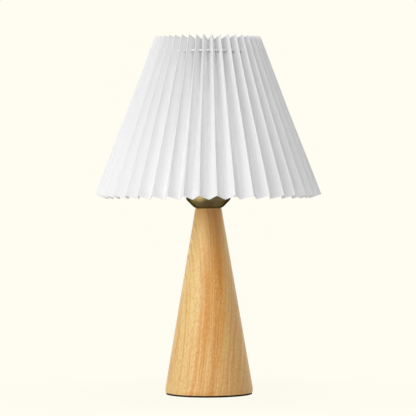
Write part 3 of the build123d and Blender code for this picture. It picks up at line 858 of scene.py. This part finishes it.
@dataclass
class ScrewThread:
    """A rounded right-hand thread."""

    pitch: float
    depth: float
    columns: int = 96

    def cut(self, levels: np.ndarray, low: float, high: float) -> np.ndarray:
        """How deep the thread is cut at each row and angle.

        The depth is half of one minus the cosine of the angle less a turn for each pitch of height. It
        fades in and out over one pitch at each end.

        Args:
            levels: Levels of the rows and columns.
            low: Level where the thread starts.
            high: Level where the thread ends.

        Returns:
            The cut in metres.
        """
        angles = angles_of(levels.shape[1])
        groove = (1 - np.cos(angles - TAU * levels / self.pitch)) / 2
        ends = soft_step((levels - low) / self.pitch) * soft_step((high - levels) / self.pitch)
        return self.depth * groove * ends

    def turn(
        self,
        name: str,
        outline: np.ndarray,
        on_thread: np.ndarray,
        low: float,
        high: float,
    ) -> bpy.types.Object:
        """Turns a piece from a closed outline that rises outside and falls inside, and cuts the thread.

        Each point is (radius cos angle, radius sin angle, level), with one row for each point of the outline
        and one column for each angle.

        Args:
            name: The piece's name.
            outline: Radius and level of each point of the outline.
            on_thread: Which of the points carry the thread, as one column.
            low: Level where the thread starts.
            high: Level where the thread ends.

        Returns:
            The new object.
        """
        rows = len(outline)
        angles = angles_of(self.columns)
        levels = np.broadcast_to(outline[:, 1:], (rows, self.columns))
        radii = outline[:, :1] - on_thread * self.cut(levels, low, high)
        points = np.stack([radii * np.cos(angles), radii * np.sin(angles), levels], axis=-1)
        return mesh_object(name, points, grid_quads(rows, self.columns, closed_rows=True), SHARP_EDGE)


RING_THREAD = ScrewThread(pitch=0.002, depth=0.0008)
E27 = ScrewThread(pitch=0.003629, depth=0.0010)


@dataclass
class Lampholder:
    """The lampholder in its brass cup, with the threaded skirt and screw shell as new pieces."""

    radius: float = 0.020
    wall: float = 0.0014
    shoulder_radius: float = 0.023
    shoulder_height: float = 0.014
    shoulder_thickness: float = 0.0025
    lip_thickness: float = 0.002
    lip_radius: float = 0.0144
    shell_bore: float = 0.0136
    shell_wall: float = 0.0005
    shell_floor_hole: float = 0.007
    rows_per_pitch: int = 8

    def build(self) -> None:
        """Dresses the plain pieces and makes the two threaded ones."""
        AGED_BRASS.dress("brass_cup")
        ZINC_STEEL.dress("lock_washer", "lock_screw", "terminal_screws")
        BLACK_PLASTIC.dress("holder_cap", "shade_ring")
        CERAMIC.dress("holder_insert")
        BRIGHT_BRASS.dress("centre_contact")
        RED_FIBRE.dress("ring_washer")
        self.skirt()
        self.screw_shell()

    def skirt(self) -> bpy.types.Object:
        """The skirt: a turned outline with the shade ring's thread cut above the shoulder.

        Returns:
            The new object.
        """
        low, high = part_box("holder_skirt")
        shoulder = low.z + self.shoulder_height
        shoulder_base = shoulder - self.shoulder_thickness
        lip_base = high.z - self.lip_thickness
        bore = self.radius - self.wall
        rows = round((high.z - shoulder) / RING_THREAD.pitch * self.rows_per_pitch)
        below: list[Corner] = [
            (bore, low.z),
            (self.radius, low.z),
            (self.radius, shoulder_base),
            (self.shoulder_radius, shoulder_base),
            (self.shoulder_radius, shoulder),
        ]
        above: list[Corner] = [(self.lip_radius, high.z), (self.lip_radius, lip_base), (bore, lip_base)]
        threaded = upright(self.radius, np.linspace(shoulder, high.z, rows))
        outline = np.concatenate([below, threaded, above])
        on_thread = (outline[:, :1] == self.radius) & (outline[:, 1:] > shoulder)
        skirt = RING_THREAD.turn("threaded_skirt", outline, on_thread, shoulder, high.z)
        return settle(skirt, BLACK_PLASTIC, Body.LAMP, Slot.HOLDER, "holder_skirt")

    def screw_shell(self) -> bpy.types.Object:
        """The shell: a thin cup with a holed floor, whose wall is rolled into the bulb's thread.

        Returns:
            The new object.
        """
        low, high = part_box("screw_shell")
        rows = round((high.z - low.z) / E27.pitch * self.rows_per_pitch)
        rise = np.linspace(low.z, high.z, rows)
        floor = low.z + self.shell_wall
        outside = upright(self.shell_bore + self.shell_wall, rise)
        inside = upright(self.shell_bore, np.maximum(rise[::-1], floor))
        hole: list[Corner] = [(self.shell_floor_hole, floor), (self.shell_floor_hole, low.z)]
        outline = np.concatenate([outside, inside, hole])
        on_wall = outline[:, :1] > self.shell_floor_hole
        shell = E27.turn("threaded_shell", outline, on_wall, floor, high.z)
        return settle(shell, BRIGHT_BRASS, Body.LAMP, Slot.CONTACT, "screw_shell")


@dataclass
class Bulb:
    """The bulb, with its rolled cap as a new piece."""

    cap_wall: float = 0.0005
    rows_per_pitch: int = 10

    def build(self) -> None:
        """Dresses the plain pieces and makes the threaded cap."""
        BRIGHT_BRASS.dress("bulb_tip")
        BLACK_GLASS.dress("bulb_insulator")
        WHITE_PLASTIC.dress("bulb_housing")
        OPAL.dress("bulb_globe")
        self.cap()

    def cap(self) -> bpy.types.Object:
        """The cap: a thin tube rolled into the thread.

        Returns:
            The new object.
        """
        low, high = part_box("bulb_cap")
        rows = round((high.z - low.z) / E27.pitch * self.rows_per_pitch)
        rise = np.linspace(low.z, high.z, rows)
        outline = np.concatenate([upright(high.x, rise), upright(high.x - self.cap_wall, rise[::-1])])
        everywhere = np.ones((len(outline), 1), bool)
        cap = E27.turn("threaded_cap", outline, everywhere, low.z, high.z)
        return settle(cap, NICKEL, Body.BULB, Slot.BULB_METAL, "bulb_cap")


@dataclass
class ShadeFrame:
    """The wire frame that carries the cover."""

    def build(self) -> None:
        """Dresses the wires and the fitter."""
        POWDER_COAT.dress("top_ring", "bottom_ring", "fitter_ring", "fitter_arms", "frame_ribs")


@dataclass
class PleatedCover:
    """The pleated fabric cover, threaded on the upper wire by a slot in each panel.

    Attributes:
        pleats: Pleats around the cover, of two panels each.
        panel: Width of a panel from ridge to valley.
        lower_radius: Radius of the ridges at the lower end.
        upper_radius: Radius of the ridges at the upper end.
        height: Height of the ridges.
        wire_lift: How far the lower wire is above the ridges' lower ends.
        thickness: The cloth's thickness.
        fold: Width of each side of a rounded fold.
        slot_half_width: Half the width of a slot across its panel.
        slot_above: How far a slot reaches above the wire's centre.
        slot_below: How far a slot reaches below the wire's centre.
        short_cut: Share that the slots of every other panel lack at their lower end.
        turn: Angle by which the pleats are turned away from the front.
        front_lag: Angle over which that turn fades out at the front.
        right_lead: Further turn of the pleats that bunch at the right.
        right_place: Angle of that bunch.
        right_span: Its spread.
        lower_sway: Spread of the folds' sway at the lower end.
        upper_sway: Spread of the folds' sway at the upper end.
        radial_sway: Share of the sway that the folds have in and out.
        wave_sizes: Sizes of a sway's constant and of its two waves.
        hollow: Depth of a panel's hollow.
        pinching: Power that moves the hollow towards the ridge.
        bow: Spread of the panels' random bow.
        hollow_limits: Shares of the slope past which hollow and bow fade no further.
        seed: Start of the random draws.
        fold_cells: Cells across a rounded fold.
        panel_cells: Cells across a panel before, along and behind the slot.
        row_counts: Rows of cells below, along and above the slots.
    """

    pleats: int = 42
    panel: float = 0.015
    lower_radius: float = 0.1264
    upper_radius: float = 0.0593
    height: float = 0.1763
    wire_lift: float = 0.0152
    thickness: float = 0.0006
    fold: float = 0.0016
    slot_half_width: float = 0.0014
    slot_above: float = 0.0014
    slot_below: float = 0.0036
    short_cut: float = 0.5
    turn: float = math.radians(1.25)
    front_lag: float = math.radians(14)
    right_lead: float = math.radians(0.9)
    right_place: float = math.radians(45)
    right_span: float = math.radians(15)
    lower_sway: float = 0.0006
    upper_sway: float = 0.0002
    radial_sway: float = 0.5
    wave_sizes: tuple[float, float, float] = (0.7, 0.5, 0.3)
    hollow: float = 0.0005
    pinching: float = 0.55
    bow: float = 0.0003
    hollow_limits: Span = (0.02, 0.98)
    seed: int = 7
    fold_cells: int = 5
    panel_cells: tuple[int, int, int] = (3, 2, 2)
    row_counts: tuple[int, int, int] = (18, 6, 6)

    @property
    def lean(self) -> float:
        """How far the ridges come in for each metre of height."""
        return (self.lower_radius - self.upper_radius) / self.height

    @cached_property
    def bottom(self) -> float:
        """Level of the ridges' lower ends."""
        low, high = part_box("bottom_ring")
        return (low.z + high.z) / 2 - self.wire_lift

    def build(self) -> bpy.types.Object:
        """Returns:
            The new object.
        """
        wire_low, wire_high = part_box("top_ring")
        wire_level = (wire_low.z + wire_high.z) / 2
        wire_radius = wire_high.x - (wire_high.z - wire_low.z) / 2
        ends, sides = self.slot_place(wire_level, wire_radius)
        along = spaced((0.0, *ends, 1.0), self.row_counts)
        shares, weights = self.section(sides)
        middle = self.middle_surface(along, shares, weights)
        kept = self.kept_cells(along, shares, ends, sides)
        cover = self.shell(middle, kept)
        settle(cover, FABRIC, Body.SHADE, Slot.FABRIC, "pleated_cover")
        return cover

    def slot_place(self, level: float, radius: float) -> tuple[Span, Span]:
        """Where the slots lie on a panel.

        A row of the grid falls inward by the lean, so the row through a point is where the ridge's level
        less the lean times its radius equals the same for the point.

        Args:
            level: The wire's level.
            radius: The wire's radius.

        Returns:
            The slot's lower and upper end along the slope, and its two sides across the panel, all as shares.
        """
        base = self.bottom - self.lean * self.lower_radius
        span = self.height * (1 + self.lean ** 2)
        reaches = (level - self.slot_below, level + self.slot_above)
        low, high = [(reach - self.lean * radius - base) / span for reach in reaches]
        ridge = self.lower_radius + (self.upper_radius - self.lower_radius) * (low + high) / 2
        depth = ridge - self.valley(ridge)
        near, far = [(ridge - radius + side * self.slot_half_width) / depth for side in (-1, 1)]
        return (low, high), (near, far)

    def valley(self, ridge: float) -> float:
        """Radius of an inner fold one panel width from a ridge of a given radius."""
        half_angle = math.pi / self.pleats
        return ridge * math.cos(half_angle) - math.sqrt(self.panel ** 2 - (ridge * math.sin(half_angle)) ** 2)

    def section(self, sides: Span) -> tuple[np.ndarray, np.ndarray]:
        """One pleat's columns, from a ridge over its valley to just before the next ridge.

        A rounded fold is a parabola that touches both panels. On its way t from 0 to 1 the fold before has
        the weight (1 - t) squared and the fold after has t squared, each times the share of a panel that is
        rounded, and the sharp fold has the rest. A panel is straight.

        Args:
            sides: The slot's two sides across the panel, as shares from ridge to valley.

        Returns:
            The share from ridge to valley of each column, and the weights (columns, 4) of the last valley,
            the ridge, the valley and the next ridge.
        """
        edge = self.fold / self.panel
        curve = np.linspace(0, 1, self.fold_cells, endpoint=False)
        tail = edge * (1 - curve) ** 2
        head = edge * curve ** 2
        none = np.zeros_like(curve)
        centre = 1 - tail - head
        run = spaced((edge, *sides, 1 - edge), self.panel_cells)
        out, back = run[:-1], run[:0:-1]
        ridge_fold = np.stack([tail, centre, head, none], axis=-1)
        out_panel = np.stack([0 * out, 1 - out, out, 0 * out], axis=-1)
        valley_fold = np.stack([none, tail, centre, head], axis=-1)
        back_panel = np.stack([0 * back, 0 * back, back, 1 - back], axis=-1)
        from_fold = np.abs(head - tail)
        shares = np.concatenate([from_fold, out, 1 - from_fold, back])
        return shares, np.concatenate([ridge_fold, out_panel, valley_fold, back_panel])

    def fold_lines(self, along: np.ndarray) -> tuple[np.ndarray, np.ndarray]:
        """The sharp ridges and valleys, before they are rounded.

        A fold is a straight line between its ends. The ridges stand out, and the valleys in, by what
        rounding the fold takes off. Each fold sways a little about its even place, more at the free lower
        end. The pleats are turned by a small angle that fades out at the front, and bunch slightly at the
        right.

        Args:
            along: Shares of the slope for the rows.

        Returns:
            Points of the ridges and of the valleys, each (rows, pleats, 3).
        """
        random = np.random.default_rng(self.seed)
        ends = np.array([self.lower_radius, self.upper_radius])
        valley_ends = np.array([self.valley(end) for end in ends])
        levels = self.bottom + np.array([0, self.height])
        valley_levels = levels - (ends - valley_ends) * self.lean
        round_off = self.fold / 2 * (ends - valley_ends) / self.panel
        pitch = TAU / self.pleats
        ridges = (ends + round_off, levels, 0.5)
        valleys = (valley_ends - round_off, valley_levels, 1.0)
        lines = []
        for radii, heights, phase in (ridges, valleys):
            even = -math.pi + (np.arange(self.pleats) + phase) * pitch
            drift = self.turn * (1 - np.exp(-(even / self.front_lag) ** 2))
            drift = drift + self.right_lead * np.exp(-((even - self.right_place) / self.right_span) ** 2)
            sway = self.sway(random, along)
            reach = np.interp(along, [0, 1], radii)[:, None] + self.radial_sway * self.sway(random, along)
            angle = even + drift + sway / reach
            level = np.broadcast_to(np.interp(along, [0, 1], heights)[:, None], angle.shape)
            lines.append(np.stack([reach * np.sin(angle), -reach * np.cos(angle), level], axis=-1))
        return lines[0], lines[1]

    def sway(self, random: np.random.Generator, along: np.ndarray) -> np.ndarray:
        """Random offsets of the folds: a constant and two slow waves for each fold, fading towards the wire.

        Args:
            random: Where the draws come from.
            along: Shares of the slope for the rows.

        Returns:
            Offsets in metres (rows, pleats).
        """
        waves = np.stack([np.ones_like(along), np.cos(math.pi * along), np.sin(TAU * along)])
        sizes = np.array(self.wave_sizes)[:, None]
        draws = random.normal(size=(len(sizes), self.pleats)) * sizes
        strength = np.interp(along, [0, 1], [self.lower_sway, self.upper_sway])
        return strength[:, None] * (waves.T @ draws)

    def middle_surface(self, along: np.ndarray, shares: np.ndarray, weights: np.ndarray) -> np.ndarray:
        """The sheet's middle surface: weighted folds, with each panel slightly hollow.

        Each panel is hollow along its normal by a sine of a power of the share from ridge to valley. The
        power is below one, so the hollow is deepest near the ridge and the ridge is pinched. A plain sine of
        random size is added for each pleat. Both fade towards the ends of the slope.

        Args:
            along: Shares of the slope for the rows.
            shares: Share from ridge to valley of each column of a pleat.
            weights: Weights of the folds for each column of a pleat.

        Returns:
            Points (rows, columns, 3).
        """
        ridge, valley = self.fold_lines(along)
        folds = np.stack([np.roll(valley, 1, axis=1), ridge, valley, np.roll(ridge, -1, axis=1)])
        points = np.einsum("cf,frpx->rpcx", weights, folds)
        random = np.random.default_rng(self.seed + 1)
        fade = np.sin(math.pi * np.clip(along, *self.hollow_limits))[:, None, None]
        uneven = self.bow * random.normal(size=(1, self.pleats, 1)) * np.sin(math.pi * shares)
        pinch = self.hollow * np.sin(math.pi * shares ** self.pinching)
        points = points.reshape(len(along), -1, 3)
        bow = ((uneven - pinch) * fade).reshape(len(along), -1, 1)
        return points + bow * grid_normals(points)

    def kept_cells(self, along: np.ndarray, shares: np.ndarray, ends: Span, sides: Span) -> np.ndarray:
        """Which cells (rows less one, columns) are cloth and not slot.

        The slots of the panels that run from a ridge to the valley at its right are cut shorter at their
        lower end.

        Args:
            along: Shares of the slope for the rows.
            shares: Share from ridge to valley of each column of a pleat.
            ends: The slot's lower and upper end along the slope.
            sides: The slot's two sides across the panel.

        Returns:
            True where there is cloth.
        """
        middle_row = (along[:-1] + along[1:]) / 2
        middle_column = (shares + np.roll(shares, -1)) / 2
        in_columns = (middle_column > sides[0]) & (middle_column < sides[1])
        first_panel = np.arange(len(shares)) < len(shares) / 2
        short_end = ends[0] + (ends[1] - ends[0]) * self.short_cut
        lower = np.where(np.tile(first_panel, self.pleats), short_end, ends[0])
        in_rows = (middle_row[:, None] > lower) & (middle_row[:, None] < ends[1])
        return ~(in_rows & np.tile(in_columns, self.pleats))

    def shell(self, middle: np.ndarray, kept: np.ndarray) -> bpy.types.Object:
        """A closed shell of the cloth's thickness on the middle surface.

        Both faces stand half a thickness from the middle along its normals. A rim joins them along each
        cell edge that has cloth on one side only.

        Args:
            middle: The middle surface (rows, columns, 3).
            kept: Which cells are cloth.

        Returns:
            The new object, with the sheet's own coordinates in metres as its UV map.
        """
        rows, columns = middle.shape[:2]
        offset = grid_normals(middle) * self.thickness / 2
        points = np.stack([middle + offset, middle - offset])
        cells = grid_quads(rows, columns)
        inner = rows * columns
        below, above = np.roll(kept, 1, axis=0), np.roll(kept, -1, axis=0)
        below[0] = False
        above[-1] = False
        neighbours = (below, np.roll(kept, -1, axis=1), above, np.roll(kept, 1, axis=1))
        rims = []
        for side, neighbour in enumerate(neighbours):
            bare = cells[kept & ~neighbour]
            start, end = bare[:, side], bare[:, (side + 1) % 4]
            rims.append(np.stack([end, start, start + inner, end + inner], axis=-1))
        outer = cells[kept]
        quads = np.concatenate([outer, outer[:, ::-1] + inner, *rims])
        cover = mesh_object("pleated_fabric", points, quads, SHARP_FOLD)
        self.lay_flat(cover, middle, quads % inner)
        return cover

    def lay_flat(self, cover: bpy.types.Object, middle: np.ndarray, quads: np.ndarray) -> None:
        """Writes the UV map: the run around the cover and the slope, in metres on the flat sheet.

        Args:
            cover: The cover's object.
            middle: The middle surface (rows, columns, 3).
            quads: The faces' corner numbers on the middle surface.
        """
        columns = middle.shape[1]
        steps = np.linalg.norm(np.roll(middle, -1, axis=1) - middle, axis=-1).mean(axis=0)
        girth = np.concatenate([[0], np.cumsum(steps)])
        slope = np.linalg.norm(middle - middle[:1], axis=-1).mean(axis=1)
        column, row = quads % columns, quads // columns
        across_seam = (column == 0) & (column.max(axis=1) == columns - 1)[:, None]
        flat = np.stack([girth[np.where(across_seam, columns, column)], slope[row]], axis=-1)
        layer = cover.data.uv_layers.new(name=SHEET_MAP)
        layer.data.foreach_set("uv", flat.astype(np.float32).ravel())


# Studio

@dataclass(frozen=True)
class SoftLamp:
    """A square soft lamp that faces the object, with its azimuth and elevation in degrees."""

    name: str
    azimuth: float
    elevation: float
    power: float
    distance: float = 2.4
    size: float = 1.4

    def build(self, target: float) -> None:
        """Hangs the lamp.

        Args:
            target: Level on the object's axis that the lamp faces.
        """
        light = bpy.data.lights.new(self.name, "AREA")
        light.shape = "SQUARE"
        light.size = self.size
        light.energy = self.power
        lamp = bpy.data.objects.new(self.name, light)
        bpy.context.scene.collection.objects.link(lamp)
        azimuth, elevation = math.radians(self.azimuth), math.radians(self.elevation)
        reach = self.distance * math.cos(elevation)
        lamp.location = (
            reach * math.sin(azimuth),
            -reach * math.cos(azimuth),
            target + self.distance * math.sin(elevation),
        )
        lamp.rotation_euler = (math.pi / 2 - elevation, 0, azimuth)


@dataclass
class Studio:
    """The pale floor, the soft light and the camera at the photograph's angle."""

    cream: Colour = (1.0, 0.982, 0.879)
    floor_tone: Colour = (0.92, 0.92, 0.92)
    floor_rings: tuple[float, ...] = (0.0, 0.3, 1.0, 3.0, 8.0)
    floor_columns: int = 96
    floor_roughness: float = 0.9
    shadow_zone: Span = (0.10, 0.30)
    shadow_share: float = 0.06
    camera_place: Point = (-0.0003, -2.708, 0.2554)
    camera_roll: float = 0.0036
    aim_level: float = 0.2083
    lens: float = 209.2
    fill: float = 0.235
    lamps: tuple[SoftLamp, ...] = (
        SoftLamp("key", azimuth=-50, elevation=12, power=15.5),
        SoftLamp("left_front", azimuth=-25, elevation=12, power=7.4),
        SoftLamp("front", azimuth=0, elevation=12, power=6.2),
        SoftLamp("front_top", azimuth=0, elevation=50, power=3.4),
        SoftLamp("right_top", azimuth=50, elevation=50, power=1.8),
        SoftLamp("top", azimuth=0, elevation=85, power=10.5),
        SoftLamp("back_left", azimuth=-150, elevation=25, power=11.0),
        SoftLamp("back_right", azimuth=146, elevation=22, power=12.0),
    )

    def build(self) -> None:
        """Sets the stage, lights it and places the camera."""
        bpy.context.scene.view_settings.view_transform = "Standard"
        self.world()
        self.floor()
        for lamp in self.lamps:
            lamp.build(self.aim_level)
        self.camera()

    def world(self) -> None:
        """A soft fill all round, which looks cream where it is seen."""
        world = bpy.data.worlds.new("studio")
        world.use_nodes = True
        bpy.context.scene.world = world
        recipe = Recipe(world.node_tree)
        fill = recipe.node("ShaderNodeBackground", sockets={"Color": opaque(WHITE), "Strength": self.fill})
        cream = recipe.node("ShaderNodeBackground", sockets={"Color": opaque(self.cream), "Strength": 1.0})
        recipe.close("ShaderNodeOutputWorld", recipe.blend(recipe.seen(), fill, cream))

    def floor(self) -> None:
        """A disc that looks cream where it is seen and keeps a faint shadow near the lamp.

        Each point is (radius cos angle, radius sin angle, 0), with one row for each ring.
        """
        radii = np.array(self.floor_rings)[:, None]
        angles = angles_of(self.floor_columns)
        axes = np.broadcast_arrays(radii * np.cos(angles), radii * np.sin(angles), 0 * angles)
        quads = grid_quads(len(radii), self.floor_columns)[:, :, ::-1]
        floor = mesh_object("floor", np.stack(axes, axis=-1), quads, math.pi)
        material = bpy.data.materials.new("studio_floor")
        material.use_nodes = True
        recipe = Recipe(material.node_tree)
        x, y, _ = recipe.axes(recipe.place())
        near = 1 - ((x * x + y * y) ** 0.5).step(self.shadow_zone)
        seen = recipe.seen()
        lit = recipe.principled({
            "Base Color": recipe.mix(seen, self.floor_tone, self.cream),
            "Roughness": self.floor_roughness,
            "Specular IOR Level": 0.0,
        })
        glow = recipe.node("ShaderNodeEmission", sockets={"Color": opaque(self.cream), "Strength": 1.0})
        share = seen * (1 - near * self.shadow_share)
        recipe.close("ShaderNodeOutputMaterial", recipe.blend(share, lit, glow))
        floor.data.materials.append(material)

    def camera(self) -> None:
        """A long lens a little above the shade's lower edge, tipped down to the lamp's middle."""
        data = bpy.data.cameras.new("camera")
        data.lens = self.lens
        camera = bpy.data.objects.new("camera", data)
        bpy.context.scene.collection.objects.link(camera)
        camera.location = self.camera_place
        drop = math.atan2(self.camera_place[2] - self.aim_level, -self.camera_place[1])
        camera.rotation_euler = (math.pi / 2 - drop, self.camera_roll, 0)
        bpy.context.scene.camera = camera


def main() -> None:
    """Dresses the lamp from the base up and sets the studio."""
    logging.basicConfig(level=logging.INFO, format="%(message)s")
    for assembly in (WoodenBase(), Lampholder(), Bulb(), ShadeFrame(), PleatedCover(), Studio()):
        assembly.build()


if __name__ == "__main__":
    main()
